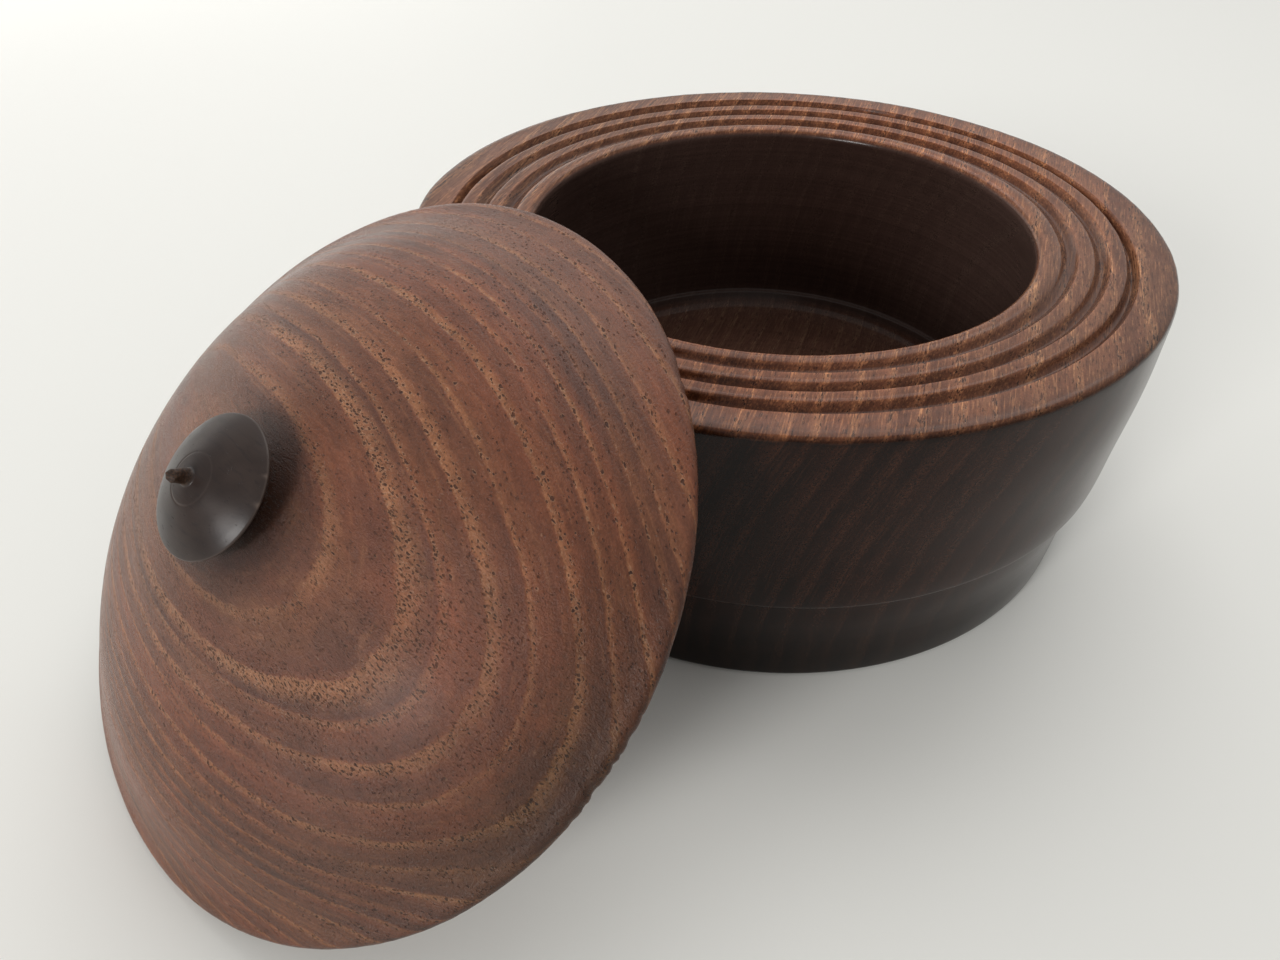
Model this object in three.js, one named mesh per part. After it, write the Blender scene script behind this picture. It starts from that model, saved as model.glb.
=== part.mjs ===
// Lidded wooden bowl: a thick-walled turned bowl, its domed lid and the lid's dark knob.
// Millimetres, +Z up. The origin is on the bowl's axis, on the flat underside of its foot.
// The lid is off the bowl: it stands on the lower edge of its rim on the -Y side and leans
// back over the bowl's rim.
import * as THREE from 'three';
import { mergeVertices } from 'three/addons/utils/BufferGeometryUtils.js';

// ---------------------------------------------------------------- driving dimensions
const BOWL_R = 65.0;          // outer radius at the top edge
const BOWL_H = 54.2;          // height of the outer band of the rim
const STEP_H = 20.7;          // height of the step above the foot band
const STEP_R = 63.7;          // body radius just above the step
const FOOT_TOP_R = 62.7;      // foot band, just under the step
const FOOT_R = 59.8;          // foot band, where it stands
const MOUTH_R = 44.0;         // clear radius of the mouth
const CAVE_R = 48.4;          // widest radius of the hollow, under the mouth
const FLOOR_H = 8.4;          // floor of the hollow
const FLOOR_R = 42.5;         // flat part of the floor
const GROOVE_D = 1.5;         // depth of the three turned grooves

const LID_R = 53.05;          // rim radius of the lid
const LID_EDGE = 2.0;         // thickness of the rim's edge
const NECK_R = 5.0;           // top of the dome, where the knob sits
const NECK_H = 24.0;          // its height over the rim plane
const SPIGOT_R = 43.4;        // locating ring under the lid
const SPIGOT_IN = 40.3;
const SPIGOT_D = 3.2;
const SOCKET_R = 3.3;         // blind hole for the knob's tenon
const SOCKET_FLOOR = 17.2;

const KNOB_R = 9.46;          // sharp edge of the knob
const KNOB_EDGE_H = 26.05;    // its height over the lid's rim plane
const KNOB_POINT_H = 29.8;    // top of the cone, where the nib starts
const NIB_R = 0.62;
const NIB_TIP_H = 32.1;
const TENON_R = 3.0;
const FIT = 0.3;              // clearance between the knob and the lid

const LEAN = 40.15;           // degrees between the lid's rim plane and the table
const LEAN_Y = -90.66;        // centre of the lid's rim plane
const LIFT = 0.1;             // its lowest edge over the table

const SEG = 60;                // facets round the bowl and the lid
const KNOB_SEG = 36;

// ---------------------------------------------------------------- helpers
const rad = THREE.MathUtils.degToRad;

// A profile of [radius, height] pairs, turned round the Z axis. It starts and ends on the axis.
function turned(profile, segments) {
  const pts = profile.map(([r, h]) => new THREE.Vector2(r, h));
  let g = new THREE.LatheGeometry(pts, segments);
  g.rotateX(Math.PI / 2);
  g.deleteAttribute('normal');
  g.deleteAttribute('uv');
  g = mergeVertices(g, 1e-4);
  // drop the slivers that the merged points on the axis leave
  const idx = g.getIndex().array, keep = [];
  for (let i = 0; i < idx.length; i += 3) {
    const [a, b, c] = [idx[i], idx[i + 1], idx[i + 2]];
    if (a !== b && b !== c && c !== a) keep.push(a, b, c);
  }
  g.setIndex(keep);
  g.computeVertexNormals();
  return g;
}

function wood(color, roughness) {
  return new THREE.MeshStandardMaterial({ color, roughness, metalness: 0 });
}

// ---------------------------------------------------------------- bowl
const T = BOWL_H;
const bowlProfile = [
  // flat underside and the tapered foot band
  [0, 0], [30, 0], [FOOT_R - 0.9, 0], [FOOT_R, 0.8],
  [61.45, STEP_H / 2], [62.2, STEP_H * 0.78], [FOOT_TOP_R, STEP_H - 0.2],
  // the small step, then the nearly upright wall
  [STEP_R - 0.3, STEP_H], [STEP_R, STEP_H + 0.5],
  [64.55, 30.0], [64.95, 41.0], [BOWL_R, T - 1.3],
  // outer edge, slightly eased, and the wide outer band
  [BOWL_R - 0.45, T - 0.35], [BOWL_R - 1.3, T], [60.35, T - 0.05],
  // groove 3, ridge 2
  [59.85, T - 0.55], [59.0, T - GROOVE_D], [58.1, T - 1.25], [57.45, T - 0.3],
  [56.9, T - 0.15], [54.9, T - 0.3],
  // groove 2, ridge 1
  [54.45, T - 0.75], [53.7, T - GROOVE_D - 0.1], [52.95, T - 1.3], [52.4, T - 0.55],
  [51.9, T - 0.4], [49.9, T - 0.5],
  // groove 1, rounded inner lip
  [49.45, T - 0.95], [48.6, T - GROOVE_D - 0.2], [47.8, T - 1.45], [47.2, T - 0.75],
  [46.2, T - 0.55], [45.0, T - 0.8], [44.25, T - 1.5], [MOUTH_R, T - 2.6],
  // the hollow: it opens out a little below the mouth, then a small ledge, a cove and the floor
  [44.9, T - 6.0], [46.9, T - 13.0], [48.1, T - 21.0], [CAVE_R, T - 30.0],
  [48.0, 14.2], [47.2, 12.4], [46.2, 11.9], [44.2, 10.0], [FLOOR_R, FLOOR_H + 0.35],
  [41.0, FLOOR_H], [0, FLOOR_H],
];
const bowl = new THREE.Mesh(turned(bowlProfile, SEG), wood(0x7a5240, 0.55));
bowl.name = 'bowl';

// ---------------------------------------------------------------- lid
const lidProfile = [
  // hollowed underside, from the middle out to the locating ring
  [0, 14.4], [8, 14.3], [15, 13.9], [22, 12.9], [29, 10.9], [34.5, 8.2], [38.2, 5.0],
  [39.8, 2.2], [SPIGOT_IN, -0.6],
  [SPIGOT_IN, -SPIGOT_D + 0.3], [SPIGOT_IN + 0.3, -SPIGOT_D], [SPIGOT_R - 0.5, -SPIGOT_D],
  [SPIGOT_R, -SPIGOT_D + 0.5], [SPIGOT_R, 0],
  // flat seat, thin rim edge
  [52.3, 0], [LID_R - 0.2, 0.45], [LID_R, 1.1], [LID_R - 0.15, LID_EDGE - 0.1],
  // the dome: steep at the rim, flattening, then sweeping up to the neck under the knob
  [52.3, 2.65], [51.1, 3.4], [49.3, 4.65], [46.5, 6.65], [42.5, 9.5], [37.5, 12.4],
  [32, 15.0], [26, 17.35], [20, 19.35], [15, 20.75], [11, 21.85], [8.2, 22.75],
  [6.3, 23.5], [NECK_R, NECK_H],
  // blind socket
  [SOCKET_R, NECK_H], [SOCKET_R, SOCKET_FLOOR], [0, SOCKET_FLOOR],
];
const lid = new THREE.Mesh(turned(lidProfile, SEG), wood(0x80563f, 0.5));
lid.name = 'lid';

// ---------------------------------------------------------------- knob
const knobProfile = [
  // tenon in the socket, shoulder over the neck
  [0, SOCKET_FLOOR + FIT], [TENON_R - 0.4, SOCKET_FLOOR + FIT], [TENON_R, SOCKET_FLOOR + FIT + 0.5],
  [TENON_R, NECK_H + FIT], [4.3, NECK_H + FIT], [5.9, NECK_H + 0.5], [7.6, NECK_H + 0.95],
  [8.9, NECK_H + 1.55], [KNOB_R, KNOB_EDGE_H],
  // convex cone, fine ring line, point and nib
  [8.6, 26.75], [6.9, 27.65], [5.0, 28.45], [3.55, 28.95], [3.3, 28.9], [3.05, 29.1],
  [1.6, 29.5], [0.95, KNOB_POINT_H], [NIB_R + 0.08, KNOB_POINT_H + 0.4],
  [NIB_R, NIB_TIP_H - 0.3], [NIB_R - 0.22, NIB_TIP_H], [0, NIB_TIP_H + 0.05],
];
const knob = new THREE.Mesh(turned(knobProfile, KNOB_SEG), wood(0x35302e, 0.35));
knob.name = 'knob';

// ---------------------------------------------------------------- assembly
const lidGroup = new THREE.Group();          // the lid's own frame: origin on its rim plane
lidGroup.position.set(0, LEAN_Y, LID_R * Math.sin(rad(LEAN)) + LIFT);
lidGroup.rotation.x = rad(LEAN);             // the dome turns towards -Y
lidGroup.add(lid, knob);

const assembly = new THREE.Group();
assembly.add(bowl, lidGroup);

export default assembly;
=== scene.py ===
"""A turned wooden bowl with a grooved rim, and its domed lid with a dark pointed knob, leaning against it.

Lengths in the shape tables are millimetres; Blender objects are in metres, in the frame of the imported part.
"""

import math

import bpy
import numpy as np
from mathutils import Matrix, Vector


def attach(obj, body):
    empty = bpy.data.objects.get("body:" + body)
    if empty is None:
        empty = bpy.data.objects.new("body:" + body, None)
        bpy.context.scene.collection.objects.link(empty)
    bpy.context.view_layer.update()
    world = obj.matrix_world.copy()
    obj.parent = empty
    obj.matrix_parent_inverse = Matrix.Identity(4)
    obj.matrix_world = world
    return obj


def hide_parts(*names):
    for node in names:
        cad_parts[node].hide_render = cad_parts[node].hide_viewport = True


MM = 0.001

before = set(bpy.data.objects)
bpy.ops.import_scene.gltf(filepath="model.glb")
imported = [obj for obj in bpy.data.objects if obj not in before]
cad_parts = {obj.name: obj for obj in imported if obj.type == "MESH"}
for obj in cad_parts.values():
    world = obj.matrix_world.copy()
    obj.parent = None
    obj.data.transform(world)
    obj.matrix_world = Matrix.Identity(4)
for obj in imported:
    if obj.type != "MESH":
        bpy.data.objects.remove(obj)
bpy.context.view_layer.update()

# ---------------------------------------------------------------- camera
CAM_AT = (0.10205, -0.134935, 0.13233)
CAM_RIGHT = Vector((0.69746, 0.71662, 0.00315))
CAM_UP = Vector((-0.46082, 0.44513, 0.76779))
CAM_FORWARD = Vector((-0.54881, 0.53695, -0.64069))
cam_data = bpy.data.cameras.new("camera")
cam_data.sensor_fit = "HORIZONTAL"
cam_data.sensor_width = 36.0
cam_data.lens = 999.91 / 1280 * 36.0
cam_data.clip_start, cam_data.clip_end = 0.005, 50.0
camera = bpy.data.objects.new("camera", cam_data)
bpy.context.scene.collection.objects.link(camera)
m = Matrix.Identity(4)
for i, v in enumerate((CAM_RIGHT.normalized(), CAM_UP.normalized(), -CAM_FORWARD.normalized())):
    for j in range(3):
        m[j][i] = v[j]
m.translation = Vector(CAM_AT)
camera.matrix_world = m
bpy.context.scene.camera = camera


# ---------------------------------------------------------------- small tools
def hashed(i, j, k, seed):
    """A steady pseudo-random number in 0..1 for each lattice point."""
    h = (i * 73856093) ^ (j * 19349663) ^ (k * 83492791) ^ (seed * 2654435761)
    h = (h ^ (h >> 13)) * 1274126177
    h = (h ^ (h >> 16)) & 0xFFFFFF
    return h / float(0xFFFFFF)


def noise(p, scale, seed=0, octaves=1):
    """Smooth value noise in -1..1 at the points p (n, 3)."""
    total, amp, norm = 0.0, 1.0, 0.0
    for o in range(octaves):
        q = np.asarray(p, float) * scale * 2**o
        f = np.floor(q)
        i = f.astype(np.int64)
        w = q - f
        w = w * w * (3 - 2 * w)
        v = 0.0
        for a in (0, 1):
            for b in (0, 1):
                for c in (0, 1):
                    h = hashed(i[:, 0] + a, i[:, 1] + b, i[:, 2] + c, seed + 17 * o)
                    wa = w[:, 0] if a else 1 - w[:, 0]
                    wb = w[:, 1] if b else 1 - w[:, 1]
                    wc = w[:, 2] if c else 1 - w[:, 2]
                    v = v + h * wa * wb * wc
        total = total + (v * 2 - 1) * amp
        norm += amp
        amp *= 0.5
    return total / norm


def smooth(x, lo, hi):
    t = np.clip((np.asarray(x, float) - lo) / (hi - lo), 0, 1)
    return t * t * (3 - 2 * t)


def rounded(points, step):
    """A dense smooth profile through a table of (r, z) or (r, z, most rounding), all in mm.

    Each inner corner becomes a short curve that touches both of its sides, and straight runs are cut every `step`.
    """
    p = [np.array(q[:2], float) for q in points]
    lim = [q[2] if len(q) > 2 else 1e9 for q in points]
    n = len(p)
    out = [p[0]]
    for i in range(1, n - 1):
        a, b, c = p[i - 1], p[i], p[i + 1]
        la, lc = np.linalg.norm(b - a), np.linalg.norm(c - b)
        d = min(lim[i], 0.5 * la, 0.5 * lc)
        s = b + (a - b) / la * min(d, 0.5 * la)
        e = b + (c - b) / lc * min(d, 0.5 * lc)
        turn = abs(math.atan2(np.cross(b - a, c - b), np.dot(b - a, c - b)))
        k = max(2, int(math.ceil(turn / math.radians(9))), int(math.ceil(2 * d / step)))
        for j in range(k + 1):
            t = j / k
            out.append((1 - t) ** 2 * s + 2 * t * (1 - t) * b + t * t * e)
    out.append(p[-1])
    dense = [out[0]]
    for q in out[1:]:
        gap = np.linalg.norm(q - dense[-1])
        if gap < 1e-4:
            continue
        k = max(1, int(math.ceil(gap / step)))
        a = dense[-1]
        for j in range(1, k + 1):
            dense.append(a + (q - a) * j / k)
    return np.array(dense)


def turned(name, profile, angles):
    """A closed solid of revolution about Z. The profile runs from the axis, round the section, back to the axis."""
    prof = profile.copy()
    on_axis = (prof[0, 0] < 1e-6, prof[-1, 0] < 1e-6)
    rings = prof[1 if on_axis[0] else 0 : -1 if on_axis[1] else None]
    m_, n_ = len(rings), len(angles)
    c, s = np.cos(angles), np.sin(angles)
    co = np.empty((m_, n_, 3))
    co[:, :, 0] = rings[:, 0:1] * c
    co[:, :, 1] = rings[:, 0:1] * s
    co[:, :, 2] = rings[:, 1:2]
    verts = co.reshape(-1, 3)
    idx = np.arange(m_ * n_).reshape(m_, n_)
    a = idx[:-1, :]
    b = np.roll(a, -1, 1)
    d = idx[1:, :]
    e = np.roll(d, -1, 1)
    quads = np.stack([a, b, e, d], -1).reshape(-1, 4)
    faces = [tuple(q) for q in quads.tolist()]
    verts = verts.tolist()
    if on_axis[0]:
        verts.append([0, 0, prof[0, 1]])
        k = len(verts) - 1
        faces += [(k, int(idx[0, (j + 1) % n_]), int(idx[0, j])) for j in range(n_)]
    if on_axis[1]:
        verts.append([0, 0, prof[-1, 1]])
        k = len(verts) - 1
        faces += [(k, int(idx[-1, j]), int(idx[-1, (j + 1) % n_])) for j in range(n_)]
    me = bpy.data.meshes.new(name)
    me.from_pydata(verts, [], faces)
    me.update()
    ob = bpy.data.objects.new(name, me)
    bpy.context.scene.collection.objects.link(ob)
    me.polygons.foreach_set("use_smooth", np.ones(len(me.polygons), bool))
    return ob, m_, n_


def points_of(me):
    co = np.empty(len(me.vertices) * 3, np.float32)
    me.vertices.foreach_get("co", co)
    return co.reshape(-1, 3).astype(float)


def put_points(me, co):
    me.vertices.foreach_set("co", co.astype(np.float32).ravel())
    me.update()


def normals_of(me):
    no = np.empty(len(me.vertices) * 3, np.float32)
    me.vertices.foreach_get("normal", no)
    return no.reshape(-1, 3).astype(float)


def attribute(me, name, values):
    values = np.asarray(values, np.float32)
    if values.ndim == 1:
        at = me.attributes.new(name, "FLOAT", "POINT")
        at.data.foreach_set("value", values)
    else:
        at = me.attributes.new(name, "FLOAT_VECTOR", "POINT")
        at.data.foreach_set("vector", values.ravel())


def face_angles(n, fine=(), fine_step=0.3, radius=50.0):
    """n even angles round the turn, with closer ones inside the ranges in `fine` (degrees)."""
    even = np.linspace(0, 2 * math.pi, n, endpoint=False)
    keep = np.ones(n, bool)
    extra = []
    for lo, hi in fine:
        lo, hi = math.radians(lo), math.radians(hi)
        inside = ((even - lo) % (2 * math.pi)) < (hi - lo)
        keep &= ~inside
        k = max(2, int(round((hi - lo) * radius / fine_step)))
        extra.append(np.linspace(lo, hi, k) % (2 * math.pi))
    all_ = np.concatenate([even[keep], *extra]) if extra else even
    return np.sort(all_)


# ---------------------------------------------------------------- growth rings
def lid_rings(p):
    """Distance from the pith, mm, and the way round it, at points of the lid in its own frame."""
    x, y, z = p[:, 0], p[:, 1], p[:, 2]
    u = y + 0.4713 + 0.1375 * x + 0.000278 * x * x
    v = z - 37.4786 - 0.0955 * x + 0.0032 * x * x
    u = u * (1 - 0.003594 * u - 0.00001072 * u * u - 0.005128 * x + 0.00011393 * x * x)
    return np.sqrt((0.7138 * u) ** 2 + v**2), np.arctan2(0.7138 * u, -v) * 36.0


LID_RING_AT = [3.0, 6.2, 8.9, 11.9, 14.6, 17.85, 21.1, 22.85, 24.9, 27.3, 30.1, 32.4, 34.5, 36.5, 37.95, 40.2, 43.1, 45.4, 47.2, 49.8, 52.1, 54.9, 57.2, 60.0, 62.4, 65.0, 68.0]
# how orange, how wide (share of the ring) and how porous the early wood of each ring is
LID_RING_LOOK = [(0.45, 0.4, 0.35)] * 5 + [
    (0.75, 0.30, 0.45),  # 17.85
    (0.95, 0.95, 1.0),  # 21.1
    (0.45, 0.30, 1.0),  # 22.85
    (0.85, 0.50, 0.8),  # 24.9
    (0.75, 0.25, 0.45),  # 27.3
    (1.0, 0.45, 0.8),  # 30.1
    (0.65, 0.30, 0.5),  # 32.4
    (1.0, 0.32, 0.65),  # 34.5
    (0.45, 0.30, 0.5),  # 36.5
    (0.65, 0.25, 0.5),  # 37.95
    (0.8, 0.28, 0.55),  # 40.2
    (0.9, 0.28, 0.55),  # 43.1
] + [(0.6, 0.28, 0.45), (0.75, 0.25, 0.5)] * 5

BOWL_GRAIN = math.radians(-63.0)  # the way the grain runs, about Z
BOWL_PITH = (130.0, 1.0)  # how far to the right of the axis and how high the pith lies


def bowl_rings(p):
    g = (math.cos(BOWL_GRAIN), math.sin(BOWL_GRAIN))
    along = p[:, 0] * g[0] + p[:, 1] * g[1]
    s = -p[:, 0] * g[1] + p[:, 1] * g[0]
    s = s - 0.00010 * along**2 + 0.6 * np.sin(along * 0.045 + 0.7)
    v = p[:, 2] - BOWL_PITH[1] + 0.05 * along
    u = BOWL_PITH[0] - s
    return np.sqrt(u * u + v * v), np.arctan2(v, u) * 100.0, along


rng = np.random.default_rng(11)
BOWL_RING_AT = 20.0 + np.concatenate([[0.0], np.cumsum(rng.uniform(2.6, 5.6, 52))])


def ring_phase(t, at):
    at = np.asarray(at, float)
    return np.interp(t, at, np.arange(len(at), dtype=float))


# ---------------------------------------------------------------- shader building
class Nodes:
    """Short calls for building a material's nodes."""

    def __init__(self, name):
        self.mat = bpy.data.materials.new(name)
        self.mat.use_nodes = True
        self.t = self.mat.node_tree
        self.t.nodes.clear()
        self.out = self.t.nodes.new("ShaderNodeOutputMaterial")
        self.bsdf = self.t.nodes.new("ShaderNodeBsdfPrincipled")
        self.t.links.new(self.bsdf.outputs[0], self.out.inputs["Surface"])

    def set(self, socket, value):
        if isinstance(value, bpy.types.NodeSocket):
            self.t.links.new(value, socket)
        elif value is not None:
            socket.default_value = value

    def attr(self, name, what="Vector"):
        n = self.t.nodes.new("ShaderNodeAttribute")
        n.attribute_type = "GEOMETRY"
        n.attribute_name = name
        return n.outputs[what]

    def math(self, op, a, b=None, c=None, clamp=False):
        n = self.t.nodes.new("ShaderNodeMath")
        n.operation = op
        n.use_clamp = clamp
        self.set(n.inputs[0], a)
        self.set(n.inputs[1], b)
        self.set(n.inputs[2], c)
        return n.outputs[0]

    def add(self, a, b):
        return self.math("ADD", a, b)

    def sub(self, a, b):
        return self.math("SUBTRACT", a, b)

    def mul(self, a, b):
        return self.math("MULTIPLY", a, b)

    def sep(self, v):
        n = self.t.nodes.new("ShaderNodeSeparateXYZ")
        self.set(n.inputs[0], v)
        return n.outputs[0], n.outputs[1], n.outputs[2]

    def comb(self, x=0.0, y=0.0, z=0.0):
        n = self.t.nodes.new("ShaderNodeCombineXYZ")
        self.set(n.inputs[0], x)
        self.set(n.inputs[1], y)
        self.set(n.inputs[2], z)
        return n.outputs[0]

    def scaled(self, v, s):
        n = self.t.nodes.new("ShaderNodeVectorMath")
        n.operation = "MULTIPLY"
        self.set(n.inputs[0], v)
        self.set(n.inputs[1], s)
        return n.outputs[0]

    def vadd(self, a, b):
        n = self.t.nodes.new("ShaderNodeVectorMath")
        n.operation = "ADD"
        self.set(n.inputs[0], a)
        self.set(n.inputs[1], b)
        return n.outputs[0]

    def noise(self, v, scale=1.0, detail=2.0, rough=0.5, distortion=0.0, what="Fac"):
        n = self.t.nodes.new("ShaderNodeTexNoise")
        n.noise_dimensions = "3D"
        self.set(n.inputs["Vector"], v)
        n.inputs["Scale"].default_value = scale
        n.inputs["Detail"].default_value = detail
        n.inputs["Roughness"].default_value = rough
        n.inputs["Distortion"].default_value = distortion
        return n.outputs[what]

    def cells(self, v, scale=1.0, randomness=1.0):
        n = self.t.nodes.new("ShaderNodeTexVoronoi")
        n.voronoi_dimensions = "3D"
        n.feature = "F1"
        self.set(n.inputs["Vector"], v)
        n.inputs["Scale"].default_value = scale
        n.inputs["Randomness"].default_value = randomness
        return n.outputs["Distance"], n.outputs["Color"]

    def white(self, w):
        n = self.t.nodes.new("ShaderNodeTexWhiteNoise")
        n.noise_dimensions = "1D"
        self.set(n.inputs["W"], w)
        return n.outputs["Color"]

    def span(self, v, lo, hi, to_lo=0.0, to_hi=1.0, kind="SMOOTHSTEP"):
        n = self.t.nodes.new("ShaderNodeMapRange")
        n.interpolation_type = kind
        n.clamp = True
        self.set(n.inputs["Value"], v)
        self.set(n.inputs["From Min"], lo)
        self.set(n.inputs["From Max"], hi)
        self.set(n.inputs["To Min"], to_lo)
        self.set(n.inputs["To Max"], to_hi)
        return n.outputs["Result"]

    def mix(self, fac, a, b, blend="MIX"):
        n = self.t.nodes.new("ShaderNodeMix")
        n.data_type = "RGBA"
        n.blend_type = blend
        n.clamp_factor = True
        self.set(n.inputs["Factor"], fac)
        self.set([s for s in n.inputs if s.name == "A" and s.type == "RGBA"][0], a)
        self.set([s for s in n.inputs if s.name == "B" and s.type == "RGBA"][0], b)
        return [s for s in n.outputs if s.type == "RGBA"][0]

    def ramp(self, fac, stops, kind="LINEAR"):
        n = self.t.nodes.new("ShaderNodeValToRGB")
        n.color_ramp.interpolation = kind
        e = n.color_ramp.elements
        while len(e) > 1:
            e.remove(e[-1])
        e[0].position, e[0].color = stops[0][0], (*stops[0][1], 1)
        for at, col in stops[1:]:
            k = e.new(at)
            k.color = (*col, 1)
        self.set(n.inputs[0], fac)
        return n.outputs["Color"]

    def bump(self, height, distance, strength=1.0, normal=None):
        n = self.t.nodes.new("ShaderNodeBump")
        n.inputs["Strength"].default_value = strength
        n.inputs["Distance"].default_value = distance
        self.set(n.inputs["Height"], height)
        if normal is not None:
            self.set(n.inputs["Normal"], normal)
        return n.outputs[0]


def rgb(r, g, b):
    """An sRGB colour in 0..255 as a linear RGBA tuple."""
    def lin(c):
        c /= 255.0
        return c / 12.92 if c <= 0.04045 else ((c + 0.055) / 1.055) ** 2.4
    return (lin(r), lin(g), lin(b), 1.0)


def wood(name, look, early, late, deep, pore, red, seed, pores=1.0, rough=0.42, bands=1.0, contrast=1.0, shine=0.3, blotch=1.0, sheen=0.0, short=1.0, coat=0.04, coat_rough=0.24, coat_ior=1.5, ticks=0.0, pore_glints=0.35, loose=1.0, grit_up=1.0):
    """Ring-porous wood, oiled and worn smooth.

    The mesh brings "grain" (mm along the grain, round the pith, out from it), "ring" (the ring's number and share),
    "mask" (wear, end grain, painted shade in the rim's grooves and round the knob's foot) and "tone" (what the base
    colour is multiplied by, which also carries painted shade and painted highlights).
    look is a table for each ring, or None for rings that differ by chance.
    """
    n = Nodes(name)
    grain = n.attr("grain")
    ring = n.attr("ring", "Fac")
    wear, endg, painted_shade = n.sep(n.attr("mask"))
    tone = n.attr("tone")
    round_, high, calm = n.sep(n.attr("lathe"))
    off = n.vadd(grain, (seed * 13.7, seed * 7.1, seed * 3.3))

    sway = n.noise(n.scaled(off, (0.05, 0.16, 0.16)), 1.0, 2.0, 0.55)
    jag = n.noise(n.scaled(off, (0.5, 1.7, 1.7)), 1.0, 3.0, 0.65)
    p = n.add(ring, n.mul(n.sub(sway, 0.5), 0.30))
    p = n.add(p, n.mul(n.sub(jag, 0.5), 0.20))
    index = n.math("FLOOR", p)
    share = n.math("FRACT", p)
    w = n.white(n.add(index, float(seed)))
    chance_r, chance_g, chance_b = n.sep(w)
    if look is None:
        strength = n.span(chance_r, 0.0, 1.0, 0.15, 1.0, "LINEAR")
        width = n.span(chance_g, 0.0, 1.0, 0.25, 0.6, "LINEAR")
        porous = n.span(chance_b, 0.0, 1.0, 0.3, 0.9, "LINEAR")
    else:
        k = len(look)
        table = n.ramp(n.math("DIVIDE", n.add(index, 0.5), float(k)), [(i / k, look[i]) for i in range(k)], "CONSTANT")
        strength, width, porous = n.sep(table)
    fade = n.sub(1.0, n.span(share, n.mul(width, 0.2), width))
    rise = n.span(share, 0.0, 0.06)
    inband = n.mul(fade, rise)
    # the band comes and goes along its length
    patch = n.noise(n.scaled(off, (0.07, 0.10, 0.3)), 1.0, 2.0, 0.5)
    band = n.mul(n.mul(inband, strength), n.span(patch, 0.30, 0.60, 0.30, 1.0))

    # dense wood between the bands, wandering from brown to red and purple
    wander = n.noise(n.scaled(off, (0.014, 0.05, 0.22)), 1.0, 3.0, 0.55)
    base = n.mix(n.mul(n.span(wander, 0.34, 0.64), blotch), late, red)
    own = n.span(chance_g, 0.0, 1.0, 0.0, 0.5 * contrast, "LINEAR")
    late_share = n.mul(n.span(share, 0.2, 0.7), n.sub(1.0, n.span(share, 0.93, 1.0, 0.0, 0.6)))
    base = n.mix(n.mul(late_share, n.add(own, n.span(patch, 0.35, 0.65, 0.0, 0.35 * contrast))), base, deep)
    lines = n.noise(n.scaled(off, (0.025, 0.22, 2.6)), 1.0, 4.0, 0.65)
    base = n.mix(n.span(lines, 0.50, 0.74, 0.0, 0.34 * contrast), base, deep)
    base = n.mix(n.span(lines, 0.50, 0.28, 0.0, 0.22 * contrast), base, early)
    # ragged, grainy edges to the bands
    grit = n.noise(n.scaled(off, (0.9, 2.4, 2.4)), 1.0, 2.0, 0.6)
    base = n.mix(n.mul(n.mul(band, 0.92 * bands), n.span(grit, 0.34, 0.58, 0.55, 1.0)), base, early)
    if ticks:
        pale = n.mix(1.0, early, (1.30, 1.30, 1.28, 1.0), "MULTIPLY")
        tick = n.noise(n.scaled(off, (0.17, 3.7, 3.7)), 1.0, 3.0, 0.55)
        more = n.mul(n.add(0.42, n.mul(inband, 0.58)), ticks)
        base = n.mix(n.mul(n.span(tick, 0.56, 0.63), more), base, pale)
        base = n.mix(n.mul(n.span(tick, 0.44, 0.37), more), base, n.mix(1.0, deep, (0.75, 0.70, 0.68, 1.0), "MULTIPLY"))
        # where the rings are cut across, they show as arcs: a dark late part and a pale start
        uneven = n.span(patch, 0.35, 0.62, 0.25, 1.0)
        base = n.mix(n.mul(n.mul(endg, late_share), uneven), base, n.mix(1.0, base, (0.60, 0.62, 0.62, 1.0), "MULTIPLY"))
        base = n.mix(n.mul(n.mul(endg, inband), uneven), base, n.mix(1.0, base, (1.20, 1.18, 1.18, 1.0), "MULTIPLY"))
        arc = n.noise(n.scaled(off, (1.2, 0.16, 3.3)), 1.0, 3.0, 0.6)
        more = n.mul(n.mul(endg, n.add(0.40, n.mul(inband, 0.35))), ticks)
        base = n.mix(n.mul(n.span(arc, 0.54, 0.64), more), base, n.mix(1.0, early, (1.30, 1.32, 1.32, 1.0), "MULTIPLY"))
        base = n.mix(n.mul(n.span(arc, 0.46, 0.36), more), base, n.mix(1.0, deep, (0.75, 0.72, 0.70, 1.0), "MULTIPLY"))
    # fibres: short dark and pale flecks along the grain
    fibre = n.noise(n.scaled(off, (2.2 + short, 5.5, 5.5)), 1.0, 3.0, 0.65)
    flecks = n.noise(n.scaled(off, (0.25, 2.2, 2.2)), 1.0, 3.0, 0.6)
    cloud = n.noise(n.scaled(off, (0.09, 0.22, 0.35)), 1.0, 3.0, 0.55)
    lightness = n.mul(n.span(fibre, 0.30, 0.70, 0.80, 1.20, "LINEAR"), n.span(flecks, 0.32, 0.68, 0.84, 1.16, "LINEAR"))
    lightness = n.mul(lightness, n.span(cloud, 0.30, 0.70, 1 - 0.16 * blotch, 1 + 0.14 * blotch, "LINEAR"))
    base = n.mix(1.0, base, n.comb(lightness, lightness, lightness), "MULTIPLY")

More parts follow.
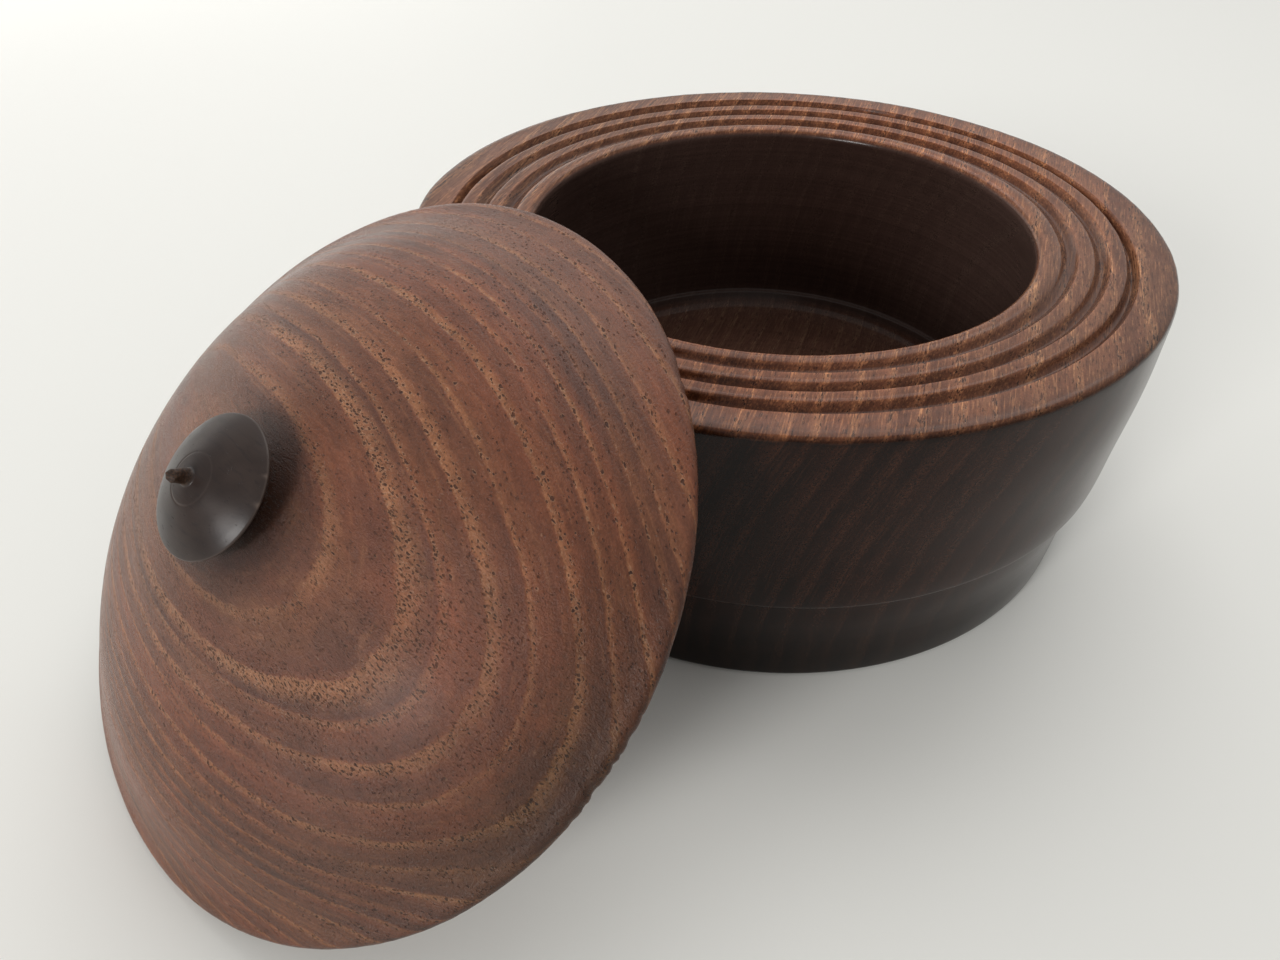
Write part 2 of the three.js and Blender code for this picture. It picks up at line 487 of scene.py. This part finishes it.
    # open pores: large in the early wood, small and scattered elsewhere
    bend = n.noise(n.scaled(off, (1.3, 2.4, 2.4)), 1.0, 2.0, 0.5, what="Color")
    bent = n.vadd(off, n.scaled(n.vadd(bend, (-0.5, -0.5, -0.5)), (0.6, 0.34, 0.34)))
    d1, c1 = n.cells(n.scaled(bent, (short, 3.5, 3.5)))
    r1, g1, b1 = n.sep(c1)
    want = n.mul(n.add(n.mul(inband, n.mul(porous, 0.62)), 0.006), pores)
    here = n.math("LESS_THAN", r1, want)
    size = n.span(g1, 0.0, 1.0, 0.26, 0.50, "LINEAR")
    big = n.mul(here, n.sub(1.0, n.span(d1, n.mul(size, 0.70), size)))
    # painted highlight: a pale rim round each open pore stands in for glints on its edge
    pore_glint = n.mul(here, n.mul(n.span(d1, n.mul(size, 0.85), size), n.sub(1.0, n.span(d1, size, n.mul(size, 1.55)))))
    d2, c2 = n.cells(n.scaled(bent, (short * 1.15, 4.6, 4.6)))
    r2, g2, b2 = n.sep(c2)
    scatter = n.noise(n.scaled(off, (0.05, 0.14, 0.5)), 1.0, 2.0, 0.5)
    fewer = n.add(n.mul(inband, 0.30), n.span(scatter, 0.36, 0.66, 0.05 * loose, 0.36 * loose))
    small = n.mul(n.math("LESS_THAN", r2, n.mul(fewer, pores)), n.sub(1.0, n.span(d2, 0.18, 0.40)))
    hole = n.math("MAXIMUM", big, n.mul(small, 0.7))
    # painted highlight on the pore rims
    base = n.mix(n.mul(pore_glint, pore_glints), base, n.mix(0.55, base, (0.46, 0.31, 0.21, 1.0)))
    base = n.mix(n.mul(hole, n.span(n.noise(off, 1.6, 1.0, 0.5), 0.35, 0.65, 0.70, 0.98, "LINEAR")), base, pore)
    # where the wood is dark and smooth inside, the rings hardly show, but fine turning lines do
    base = n.mix(calm, base, n.mix(0.5, late, red))
    turning = n.noise(n.comb(n.mul(round_, 1.1), n.mul(high, 1.1), 3.0), 1.0, 3.0, 0.6)
    marks = n.add(1.0, n.mul(n.mul(n.sub(turning, 0.5), n.add(0.06, calm)), 0.7))
    base = n.mix(1.0, base, n.comb(marks, marks, marks), "MULTIPLY")

    base = n.mix(1.0, base, tone, "MULTIPLY")
    endtone = n.ramp(endg, [(0.0, (1.0, 1.0, 1.0)), (1.0, (0.50, 0.44, 0.42))])
    base = n.mix(1.0, base, endtone, "MULTIPLY")
    # painted shade: darker base colour in the rim's grooves and round the knob's foot
    base = n.mix(n.mul(painted_shade, 0.62), base, n.mix(1.0, base, (0.42, 0.34, 0.30, 1.0), "MULTIPLY"))
    scuff = n.noise(n.scaled(off, (0.9, 1.6, 1.6)), 1.0, 3.0, 0.6)
    worn = n.mul(wear, n.span(scuff, 0.38, 0.68))
    base = n.mix(n.mul(worn, 0.5), base, n.mix(1.0, base, (1.5, 1.45, 1.4, 1.0), "MULTIPLY"))
    n.set(n.bsdf.inputs["Base Color"], base)

    polish = n.noise(n.scaled(off, (0.05, 0.09, 0.09)), 1.0, 2.0, 0.5)
    roughness = n.add(n.span(polish, 0.3, 0.7, rough - 0.04, rough + 0.05, "LINEAR"), n.mul(hole, 0.28))
    roughness = n.add(roughness, n.mul(n.sub(fibre, 0.5), 0.16 * grit_up))
    roughness = n.add(roughness, n.mul(band, 0.05))
    n.set(n.bsdf.inputs["Roughness"], roughness)
    n.bsdf.inputs["IOR"].default_value = 1.5
    n.bsdf.inputs["Specular IOR Level"].default_value = shine
    n.bsdf.inputs["Coat Weight"].default_value = coat
    n.bsdf.inputs["Coat Roughness"].default_value = coat_rough
    n.bsdf.inputs["Coat IOR"].default_value = coat_ior
    n.bsdf.inputs["Sheen Weight"].default_value = sheen
    n.bsdf.inputs["Sheen Roughness"].default_value = 0.38
    n.bsdf.inputs["Sheen Tint"].default_value = (1.0, 0.93, 0.86, 1.0)
    height = n.add(n.mul(hole, -1.0), n.mul(n.sub(fibre, 0.5), 0.45 * grit_up))
    height = n.add(height, n.mul(n.sub(flecks, 0.5), 0.35))
    height = n.add(height, n.mul(band, -0.15))
    height = n.add(height, n.mul(n.mul(n.sub(turning, 0.5), n.add(0.05, calm)), 1.3))
    n.set(n.bsdf.inputs["Normal"], n.bump(height, 0.00018 * grit_up, 0.9))
    return n.mat


PORE = rgb(58, 32, 22)
lid_mat = wood(
    "lid_wood", LID_RING_LOOK, rgb(152, 106, 76), rgb(112, 73, 54), rgb(88, 57, 47), PORE, rgb(119, 71, 51), 3,
    rough=0.235, shine=0.27, short=1.1, pores=1.3, contrast=1.2, pore_glints=0.5, loose=0.8, grit_up=1.3,
)
bowl_mat = wood(
    "bowl_wood", None, rgb(160, 112, 80), rgb(126, 83, 62), rgb(94, 58, 44), PORE, rgb(124, 76, 56), 5,
    pores=0.9, contrast=1.1, rough=0.32, shine=0.0, blotch=0.5, sheen=0.0, short=0.4, coat=1.0, coat_rough=0.20, coat_ior=1.28, ticks=1.0,
)

# ---------------------------------------------------------------- bowl
T = 54.2
BOWL = [
    (0, 0), (30, 0), (59.0, 0, 0.4), (59.95, 0.75, 0.6), (60.4, 4), (60.7, 8), (61.2, 12), (61.95, 16), (62.5, 20.0, 0.10), (63.15, 20.1, 0.2),
    (63.6, 20.65, 0.45), (63.9, 22.5), (64.2, 25.5), (64.45, 30), (65.15, 41), (65.25, T - 1.6, 0.9), (65.2, T - 0.75, 0.35), (64.85, T - 0.2, 0.3), (64.1, T, 0.5),
    (59.8, T - 0.03, 0.08), (59.5, T - 0.7, 0.2), (58.85, T - 1.65, 0.45), (57.95, T - 1.35, 0.5), (57.4, T - 0.3, 0.4),
    (56.9, T - 0.15, 0.35), (54.9, T - 0.28, 0.10), (54.5, T - 0.9, 0.2), (53.8, T - 1.7, 0.5), (52.95, T - 1.3, 0.5),
    (52.4, T - 0.55, 0.4), (51.9, T - 0.4, 0.35), (49.9, T - 0.48, 0.10), (49.5, T - 1.1, 0.2), (48.7, T - 1.8, 0.5),
    (47.8, T - 1.45, 0.5), (47.2, T - 0.75, 0.4), (46.2, T - 0.5, 0.5), (45.1, T - 0.6, 0.5), (44.35, T - 1.15, 0.45),
    (44, T - 2.1), (44.9, T - 6), (46.9, T - 13), (48.1, T - 21), (48.4, T - 30), (48.1, 14.0, 0.5), (47.85, 13.1, 0.25),
    (47.2, 12.8, 0.25), (46.9, 12.2, 0.3), (46.0, 10.5, 0.4), (45.2, 9.75, 0.5), (43.2, 8.95, 0.6), (41.6, 8.45, 0.6), (40, 8.4), (20, 8.4), (0, 8.4),
]
prof = rounded(BOWL, 2.2)
# closer cuts over the rim
fine = []
for a, b in zip(prof[:-1], prof[1:]):
    fine.append(a)
    if a[1] > T - 3.2 and np.linalg.norm(b - a) > 0.5:
        k = int(math.ceil(np.linalg.norm(b - a) / 0.5))
        fine += [a + (b - a) * j / k for j in range(1, k)]
fine.append(prof[-1])
prof = np.array(fine)
bowl, bm, bn = turned("bowl_turned", prof, face_angles(304))
me = bowl.data
co = points_of(me)
r = np.hypot(co[:, 0], co[:, 1])
nz = normals_of(me)
ideal = r.copy()
# hand work: the wall, the rim and the grooves wander a little from true
wobble = noise(co, 0.045, 5, 2) * 0.10 + noise(co, 0.3, 6, 2) * 0.02
edge = smooth(co[:, 2], T - 2.2, T - 0.2)
wobble += noise(co, 0.9, 8, 2) * 0.05 * edge
co += nz * (wobble * smooth(co[:, 2], 0.4, 1.5))[:, None]
th = np.degrees(np.arctan2(co[:, 1], co[:, 0])) % 360
clear = smooth(th, 305, 350) + (1 - smooth(th, 212, 238)) * (th < 300)
oval = np.cos(np.radians(2 * (th - 50)))
swell = smooth(r, 60, 62.5) * smooth(co[:, 2], 24, 46) * np.clip(clear, 0, 1) * (0.60 + 0.25 * oval)
mouth = np.cos(np.radians(2 * (th - 58)))
inner_oval = smooth(co[:, 2], 38, 52) * (r < 60.4) * (1 - smooth(r, 57.4, 59.8)) * (0.85 * mouth + 0.2 * smooth(r, 46.5, 49) - (1 - smooth(r, 44.5, 47)) * (0.25 + 0.30 * mouth + 0.40 * np.cos(np.radians(th - 95))))
r0 = np.maximum(np.hypot(co[:, 0], co[:, 1]), 1e-6)
co[:, :2] *= (1 + (swell + inner_oval) / r0)[:, None]
put_points(me, co)
nz = normals_of(me)
t, around, along = bowl_rings(co)
attribute(me, "grain", np.stack([along, around, t], -1))
attribute(me, "ring", ring_phase(t, BOWL_RING_AT))
g = np.array([math.cos(BOWL_GRAIN), math.sin(BOWL_GRAIN), 0.0])
endgrain = (nz @ g) ** 2
r = np.hypot(co[:, 0], co[:, 1])
top = smooth(co[:, 2], T - 3.4, T - 2.2)
lands = smooth(co[:, 2], T - 0.95, T - 0.3) * smooth(nz[:, 2], 0.2, 0.8)
# painted shade in the bottoms of the rim's grooves
painted_shade = top * smooth(co[:, 2], T - 0.55, T - 1.4) * (r < 60.6) * (r > 46.8)
step = np.exp(-(((co[:, 2] - 20.9) / 0.45) ** 2)) * (r > 60)
crest = sum(np.exp(-(((ideal - q) / 0.24) ** 2)) for q in (59.65, 54.8, 49.8, 45.0)) * (co[:, 2] > T - 1.2)
wear = np.clip(crest * 0.9 + lands * 0.55 + 0.9 * np.exp(-(((r - 64.6) / 0.5) ** 2) - ((co[:, 2] - T + 0.7) / 0.7) ** 2) + 0.5 * step, 0, 1)
attribute(me, "mask", np.stack([wear, endgrain, painted_shade], -1))
tone = np.ones((len(co), 3))
ragged = noise(co, 0.9, 41, 2) * 0.35
dark = (1 - smooth(co[:, 2] + ragged, T - 1.05, T - 0.10)) * ((r > 62) | ((r > 55) & (co[:, 2] < 40)))
# painted highlight: the lands are palest at their crisp inner edges; painted shade: the widest darkens as it turns over
# to the side
edge_highlight = sum(np.exp(-(((ideal - q) / 0.38) ** 2)) for q in (60.0, 55.1, 50.1, 45.3)) * (co[:, 2] > T - 0.95)
tone *= 1 + 0.30 * np.clip(edge_highlight, 0, 1)[:, None]
tone *= 1 - 0.36 * (smooth(ideal, 61.8, 64.9) * (co[:, 2] > T - 1.5))[:, None]
rim = (co[:, 2] > T - 2.4) * (ideal > 44.5)
tone *= 1 - rim[:, None] * np.array([0.08, 0.12, 0.19])
# redder to the front and back, browner to the two sides
tone *= 1 + (rim * np.cos(np.radians(2 * (th + 80))))[:, None] * np.array([0.09, 0.0, -0.07])
# painted sheen: the rim is made lighter and greyer toward the back
tone *= 1 + (rim * smooth(np.cos(np.radians(th - 127)), 0.4, 1.0))[:, None] * np.array([0.09, 0.15, 0.17])
# the outer wall and foot take a much darker tone than the rim; painted shade darkens them further towards the floor
tone *= 1 - dark[:, None] * (np.array([0.845, 0.87, 0.87]) + np.array([0.08, 0.05, 0.05]) * (1 - smooth(co[:, 2], 3, 24))[:, None])
inside = (1 - smooth(co[:, 2], T - 1.75, T - 0.95)) * ((r < 46) | ((r < 55) & (co[:, 2] < T - 4))) * (co[:, 2] > 4)
flat = (r < 46.5) * (1 - smooth(co[:, 2], 10.0, 12.6)) * (co[:, 2] > 4)
tone *= 1 - (inside * (1 - flat))[:, None] * np.array([0.64, 0.45, 0.19])
tone *= 1 - flat[:, None] * np.array([0.41, 0.28, 0.11])
attribute(me, "tone", tone)
attribute(me, "lathe", np.stack([r, co[:, 2], np.clip(inside * 0.8 - flat * 0.35, 0, 1)], -1))
me.materials.append(bowl_mat)
put_points(me, co * MM)
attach(bowl, "bowl")
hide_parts("bowl")

# ---------------------------------------------------------------- lid
LEAN = math.radians(40.15)
LID_R = 53.05
LID_AT = (0.0, -90.66, LID_R * math.sin(LEAN) + 0.1)


def leaned(co):
    """Points of the lid's own frame, brought to where the lid leans; mm in and out."""
    c, s = math.cos(LEAN), math.sin(LEAN)
    return np.stack([co[:, 0], LID_AT[1] + co[:, 1] * c - co[:, 2] * s, LID_AT[2] + co[:, 1] * s + co[:, 2] * c], -1)


LID = [
    (0, 14.4), (8, 14.3), (15, 13.9), (22, 12.9), (29, 10.9), (34.5, 8.2), (38.2, 5), (39.8, 2.2), (40.3, -0.6),
    (40.3, -2.9, 0.2), (40.6, -3.2, 0.2), (42.9, -3.2, 0.25), (43.4, -2.7, 0.3), (43.4, 0, 0.25), (52.3, 0, 0.4), (52.85, 0.45, 0.35),
    (53.05, 1.0, 0.5), (52.85, 1.65, 0.6), (52.2, 2.2), (51.0, 2.85), (49.2, 4.1), (46.4, 6.25), (42.5, 9.4), (37.5, 12.5),
    (32, 15.1), (26, 17.35), (20, 19.35), (15, 20.75), (11, 21.85), (8.2, 22.75), (6.3, 23.5), (5, 24, 0.3), (3.3, 24, 0.2),
    (3.3, 17.2, 0.2), (0, 17.2),
]
prof = rounded(LID, 1.0)
lid, lm, ln = turned("lid_turned", prof, face_angles(300, fine=[(-12, 14), (46, 62)], fine_step=0.45, radius=53))
me = lid.data
co = points_of(me)
nz = normals_of(me)
r = np.hypot(co[:, 0], co[:, 1])
az = np.degrees(np.arctan2(co[:, 1], co[:, 0]))
wob = noise(co, 0.05, 21, 2) * 0.10 * smooth(r, 8, 14)
co += nz * wob[:, None]
# chips out of the lid's thin edge: (angle, width along the edge, depth, reach up the dome), mm
for a0, w, depth, reach in [(4.4, 1.3, 0.20, 1.4), (1.9, 0.5, 0.16, 0.9), (0.5, 0.8, 0.30, 1.4), (-1.5, 1.5, 0.14, 1.2), (-3.5, 1.4, 0.38, 1.9), (-5.7, 0.8, 0.16, 1.0), (7.4, 0.5, 0.10, 0.8), (-8.2, 0.7, 0.10, 0.8), (54.0, 2.6, 0.2, 1.0), (51.0, 0.8, 0.22, 0.8)]:
    d = np.radians(az - a0) * 53
    fall = np.exp(-np.abs(d / (w * 0.62)) ** 3) * np.exp(-(np.maximum(np.abs(co[:, 2] - 0.9) - 0.4, 0) / reach * 1.6) ** 2) * (r > 50)
    rr = np.hypot(co[:, 0], co[:, 1])
    f = 1 - depth * fall / np.maximum(rr, 1)
    co[:, 0] *= f
    co[:, 1] *= f
edge = smooth(r, 51.8, 52.9)
nib = noise(co, 1.3, 25, 2) * 0.05 * edge
co[:, :2] *= (1 + nib / 53)[:, None]
put_points(me, co)
nz = normals_of(me)
t, around = lid_rings(co)
attribute(me, "grain", np.stack([co[:, 0], around, t], -1))
attribute(me, "ring", ring_phase(t, LID_RING_AT))
g = np.array([1.0, -0.1375, 0.0955])
g /= np.linalg.norm(g)
endgrain = (nz @ g) ** 2
under = (nz[:, 2] < 0.05) | ((r < 43.5) & (co[:, 2] < 0.3)) | ((r < 41) & (co[:, 2] < 14.5) & (co[:, 2] < 16 - r * 0.2))
wear = smooth(r, 52.2, 53.0) * (0.25 + 0.35 * smooth(np.cos(np.radians(az - 100)), 0.0, 0.8)) * (co[:, 2] > 0.2)
# painted shade: the knob's shadow on the dome round its foot
knob_shade = 0.0 * r
knob_shade = np.where((r < 14.0) & (co[:, 2] > 15), 1.3 * (1 - smooth(r, 8.0, 12.0)), knob_shade)
attribute(me, "mask", np.stack([wear, endgrain, knob_shade], -1))
tone = np.ones((len(co), 3))
# painted shade round the knob's foot
tone *= 1 - (0.53 * (1 - smooth(r, 7.5, 17.0)) * (co[:, 2] > 15))[:, None]
# painted shade over the dome's lower edge and lower left
low = np.exp(-(((az + 6) / 24) ** 2)) * smooth(r, 42, 50.5) * (1 - under)
tone *= 1 - low[:, None] * np.array([0.48, 0.45, 0.53])
low = np.exp(-(((az + 48) / 36) ** 2)) * smooth(r, 30, 46) * (1 - under)
tone *= 1 - low[:, None] * np.array([0.15, 0.15, 0.22])
low = np.exp(-(((az + 54) / 28) ** 2)) * smooth(r, 22, 30) * (1 - 0.5 * smooth(r, 38, 46)) * (1 - under)
tone *= 1 - low[:, None] * np.array([0.17, 0.23, 0.26])
# more painted shade of the knob, below it and to its right
low = np.exp(-(((az + 19) / 42) ** 2)) * (1 - smooth(r, 8.5, 14.0)) * (co[:, 2] > 15)
tone *= 1 - low[:, None] * np.array([0.32, 0.32, 0.34])
low = np.exp(-(((az - 79) / 30) ** 2)) * (1 - smooth(r, 14.0, 19.0)) * (co[:, 2] > 15)
tone *= 1 - low[:, None] * np.array([0.06, 0.12, 0.20])
# painted against reflections: the upper side is made warmer, and the sides toward -x and down the dome less green and
# blue, offsetting the grey sheen reflected there
tone *= 1 + (smooth(np.sin(np.radians(az + 20)), -0.6, 0.9) * smooth(r, 10, 30) * (1 - under))[:, None] * np.array([0.03, -0.03, -0.10])
tone *= 1 - (smooth(-np.cos(np.radians(az)), 0.1, 0.9) * smooth(r, 16, 40) * (1 - under))[:, None] * np.array([0.0, 0.07, 0.18])
tone *= 1 - (smooth(np.cos(np.radians(az + 104)), 0.35, 0.95) * smooth(r, 18, 42) * (1 - under))[:, None] * np.array([0.02, 0.20, 0.44])
attribute(me, "tone", tone)
attribute(me, "lathe", np.stack([np.hypot(co[:, 0], co[:, 1]), co[:, 2], 0.0 * r], -1))
me.materials.append(lid_mat)
put_points(me, leaned(co) * MM)
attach(lid, "lid")
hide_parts("lid")

# ---------------------------------------------------------------- knob
KNOB = [
    (0, 17.5), (2.6, 17.5, 0.3), (3, 18, 0.3), (3, 24.3, 0.15), (4.3, 24.3, 0.3), (5.9, 24.5), (7.6, 24.95), (8.9, 25.55), (9.38, 25.9, 0.12),
    (9.46, 26.08, 0.1), (9.36, 26.26, 0.12), (8.6, 26.75), (6.9, 27.65), (5, 28.45), (3.7, 28.95), (3.1, 29.12),
    (1.9, 29.40), (1.22, 29.55, 0.12), (1.00, 29.85, 0.2), (0.90, 30.6), (0.86, 31.4), (0.72, 31.92, 0.12), (0.34, 32.10, 0.15), (0, 32.12),
]
prof = rounded(KNOB, 0.28)
fine = []
for a, b in zip(prof[:-1], prof[1:]):
    fine.append(a)
    if 2.9 < a[0] < 3.9 and a[1] > 28:
        fine += [a + (b - a) * j / 3 for j in (1, 2)]
fine.append(prof[-1])
knob, km, kn = turned("knob_turned", np.array(fine), face_angles(260))
me = knob.data
co = points_of(me)
nz = normals_of(me)
r = np.hypot(co[:, 0], co[:, 1])
az = np.degrees(np.arctan2(co[:, 1], co[:, 0]))
co += nz * (noise(co, 0.25, 31, 2) * 0.03 * smooth(co[:, 2], 24.4, 25.2))[:, None]
# a fine scribed circle, deepest on one side
deep = 0.25 + 0.75 * smooth(np.cos(np.radians(az + 140)), -0.2, 0.6)
groove = np.exp(-(((r - 3.36) / 0.12) ** 2)) * (co[:, 2] > 28.5) * deep
co[:, 2] -= 0.05 * groove
# the nib is whittled, not quite round, and leans
up = np.clip((co[:, 2] - 29.9) / 2.25, 0, 1)
co += nz * (noise(co, 1.5, 33, 3) * 0.20 * smooth(co[:, 2], 29.7, 30.4))[:, None]
co[:, 2] += 0.22 * up * np.clip(-co[:, 0] / 0.7, -1, 1)
co[:, 0] += 0.62 * up**1.3
co[:, 1] += -0.40 * up**1.3
# nicks in the sharp rim
nicks = np.zeros(len(co))
for a0, w, depth in [(36, 0.22, 0.07), (14, 0.3, 0.04), (150, 0.4, 0.06), (205, 0.3, 0.06)]:
    d = np.radians((az - a0 + 180) % 360 - 180) * 9.4
    fall = np.exp(-((d / w) ** 2)) * np.exp(-(((co[:, 2] - 26.1) / 0.32) ** 2)) * (r > 8)
    co[:, :2] *= (1 - depth * fall / 9.4)[:, None]
    nicks = np.maximum(nicks, fall)
put_points(me, co)
attribute(me, "grain", co)
wear = np.clip(0.35 * np.exp(-(((r - 9.42) / 0.10) ** 2)) * (co[:, 2] > 25.6) + nicks, 0, 1)
nibm = smooth(co[:, 2], 29.6, 29.95) * (r < 1.6)
attribute(me, "mask", np.stack([wear, nibm, groove], -1))
put_points(me, leaned(co) * MM)

n = Nodes("dark_wood")
grain = n.attr("grain")
wear_, nib_, groove_ = n.sep(n.attr("mask"))
streak = n.noise(n.scaled(grain, (0.12, 1.5, 1.5)), 1.0, 3.0, 0.6)
cloud = n.noise(grain, 0.18, 2.0, 0.5)
fine_ = n.noise(n.scaled(grain, (0.7, 9.0, 9.0)), 1.0, 2.0, 0.5)
col = n.mix(n.span(cloud, 0.35, 0.65), rgb(43, 34, 31), rgb(52, 42, 38))
col = n.mix(n.mul(n.span(streak, 0.5, 0.75), 0.6), col, rgb(34, 28, 28))
d1, c1 = n.cells(n.scaled(grain, (0.5, 3.6, 3.6)))
r1, g1, b1 = n.sep(c1)
pore_ = n.mul(n.math("LESS_THAN", r1, 0.16), n.sub(1.0, n.span(d1, 0.12, 0.24)))
col = n.mix(n.mul(pore_, 0.6), col, rgb(32, 26, 26))
col = n.mix(n.mul(nib_, 0.9), col, n.mix(n.span(fine_, 0.42, 0.62), rgb(34, 24, 18), rgb(74, 50, 34)))
col = n.mix(n.mul(groove_, 0.35), col, rgb(96, 84, 78))
# fine scratches
scr = None
for k, (ang, freq, seed_) in enumerate([(0.5, 0.55, 2.0), (2.2, 0.5, 9.0), (1.35, 0.6, 17.0)]):
    gx, gy, gz = n.sep(grain)
    a_ = n.add(n.mul(gx, math.cos(ang)), n.mul(gy, math.sin(ang)))
    b_ = n.add(n.mul(gx, -math.sin(ang)), n.mul(gy, math.cos(ang)))
    v_ = n.comb(n.add(n.mul(a_, 0.12), seed_), n.mul(b_, 2.3), seed_)
    d_, c_ = n.cells(v_)
    e_ = n.mul(n.math("LESS_THAN", n.sep(c_)[0], 0.16), n.sub(1.0, n.span(d_, 0.0, 0.055)))
    scr = e_ if scr is None else n.math("MAXIMUM", scr, e_)
col = n.mix(n.mul(scr, 0.35), col, rgb(126, 116, 112))
col = n.mix(n.mul(wear_, 0.42), col, rgb(128, 112, 102))
n.set(n.bsdf.inputs["Base Color"], col)
ro = n.add(n.span(cloud, 0.3, 0.7, 0.30, 0.38, "LINEAR"), n.mul(pore_, 0.25))
ro = n.add(ro, n.mul(scr, 0.15))
ro = n.add(ro, n.mul(nib_, 0.2))
n.set(n.bsdf.inputs["Roughness"], ro)
n.bsdf.inputs["Specular IOR Level"].default_value = 0.24
n.bsdf.inputs["Coat Weight"].default_value = 0.02
n.bsdf.inputs["Coat Roughness"].default_value = 0.25
n.set(n.bsdf.inputs["Normal"], n.bump(n.add(n.mul(pore_, -1.0), n.add(n.mul(scr, -0.6), n.mul(n.sub(fine_, 0.5), 0.2))), 0.00008, 0.6))
me.materials.append(n.mat)
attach(knob, "lid")
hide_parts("knob")

# ---------------------------------------------------------------- stage and light
me = bpy.data.meshes.new("floor")
k = 96
vs = [(3.0 * math.cos(2 * math.pi * i / k), 3.0 * math.sin(2 * math.pi * i / k), -0.00002) for i in range(k)]
me.from_pydata(vs, [], [tuple(range(k))])
floor = bpy.data.objects.new("floor", me)
bpy.context.scene.collection.objects.link(floor)
f = bpy.data.materials.new("floor")
f.use_nodes = True
f.node_tree.nodes["Principled BSDF"].inputs["Base Color"].default_value = (0.80, 0.798, 0.760, 1)
f.node_tree.nodes["Principled BSDF"].inputs["Roughness"].default_value = 0.5
f.node_tree.nodes["Principled BSDF"].inputs["Specular IOR Level"].default_value = 0.3
me.materials.append(f)


def area(name, azimuth, elevation, distance, width, height, power, colour=(1, 1, 1), target=(0.0, -0.03, 0.03)):
    """A soft rectangular light, placed by its direction as seen from the object."""
    a, e = math.radians(azimuth), math.radians(elevation)
    to = Vector((math.cos(a) * math.cos(e), math.sin(a) * math.cos(e), math.sin(e)))
    data = bpy.data.lights.new(name, "AREA")
    data.shape = "RECTANGLE"
    data.size, data.size_y = width, height
    data.energy = power
    data.color = colour
    ob = bpy.data.objects.new(name, data)
    bpy.context.scene.collection.objects.link(ob)
    ob.location = Vector(target) + to * distance
    ob.rotation_mode = "QUATERNION"
    ob.rotation_quaternion = (-to).to_track_quat("-Z", "Y")
    return ob


area("window", -80, 22, 1.3, 0.34, 0.28, 8.5, (1.0, 0.99, 0.98))
area("back", 118, 60, 0.95, 0.8, 0.8, 3.3, (1.0, 0.995, 0.99))
side = area("side", 178, 10, 0.8, 0.9, 0.22, 1.7, (1.0, 1.0, 1.0))
side.visible_glossy = False
area("side_low", 172, 12, 0.82, 0.9, 0.24, 0.35, (1.0, 0.94, 0.86))

world = bpy.data.worlds.new("world")
bpy.context.scene.world = world
world.use_nodes = True
wt = world.node_tree
wt.nodes.clear()
wo = wt.nodes.new("ShaderNodeOutputWorld")
bg = wt.nodes.new("ShaderNodeBackground")
tc = wt.nodes.new("ShaderNodeTexCoord")


def facing(direction, lo, hi, amount):
    """A part of the room's brightness that grows as the ray turns to `direction`."""
    d = wt.nodes.new("ShaderNodeVectorMath")
    d.operation = "DOT_PRODUCT"
    d.inputs[1].default_value = direction
    wt.links.new(tc.outputs["Generated"], d.inputs[0])
    r = wt.nodes.new("ShaderNodeMapRange")
    r.interpolation_type = "SMOOTHSTEP"
    r.inputs["From Min"].default_value = lo
    r.inputs["From Max"].default_value = hi
    r.inputs["To Min"].default_value = 0.0
    r.inputs["To Max"].default_value = amount
    wt.links.new(d.outputs["Value"], r.inputs["Value"])
    return r.outputs["Result"]


def plus(a, b):
    n_ = wt.nodes.new("ShaderNodeMath")
    n_.operation = "ADD"
    for socket, v in zip(n_.inputs, (a, b)):
        if isinstance(v, bpy.types.NodeSocket):
            wt.links.new(v, socket)
        else:
            socket.default_value = v
    return n_.outputs[0]


glow = plus(0.26, facing((0.0, 0.0, 1.0), -0.05, 0.7, 0.23))
glow = plus(glow, facing((-0.62, 0.78, -0.08), 0.0, 0.95, 0.40))
bg.inputs["Color"].default_value = (1.0, 0.995, 0.985, 1)
wt.links.new(glow, bg.inputs["Strength"])
wt.links.new(bg.outputs[0], wo.inputs["Surface"])

bpy.context.scene.view_settings.view_transform = "Standard"
bpy.context.scene.view_settings.look = "None"
bpy.context.scene.view_settings.exposure = 0.0
bpy.context.scene.view_settings.gamma = 1.0
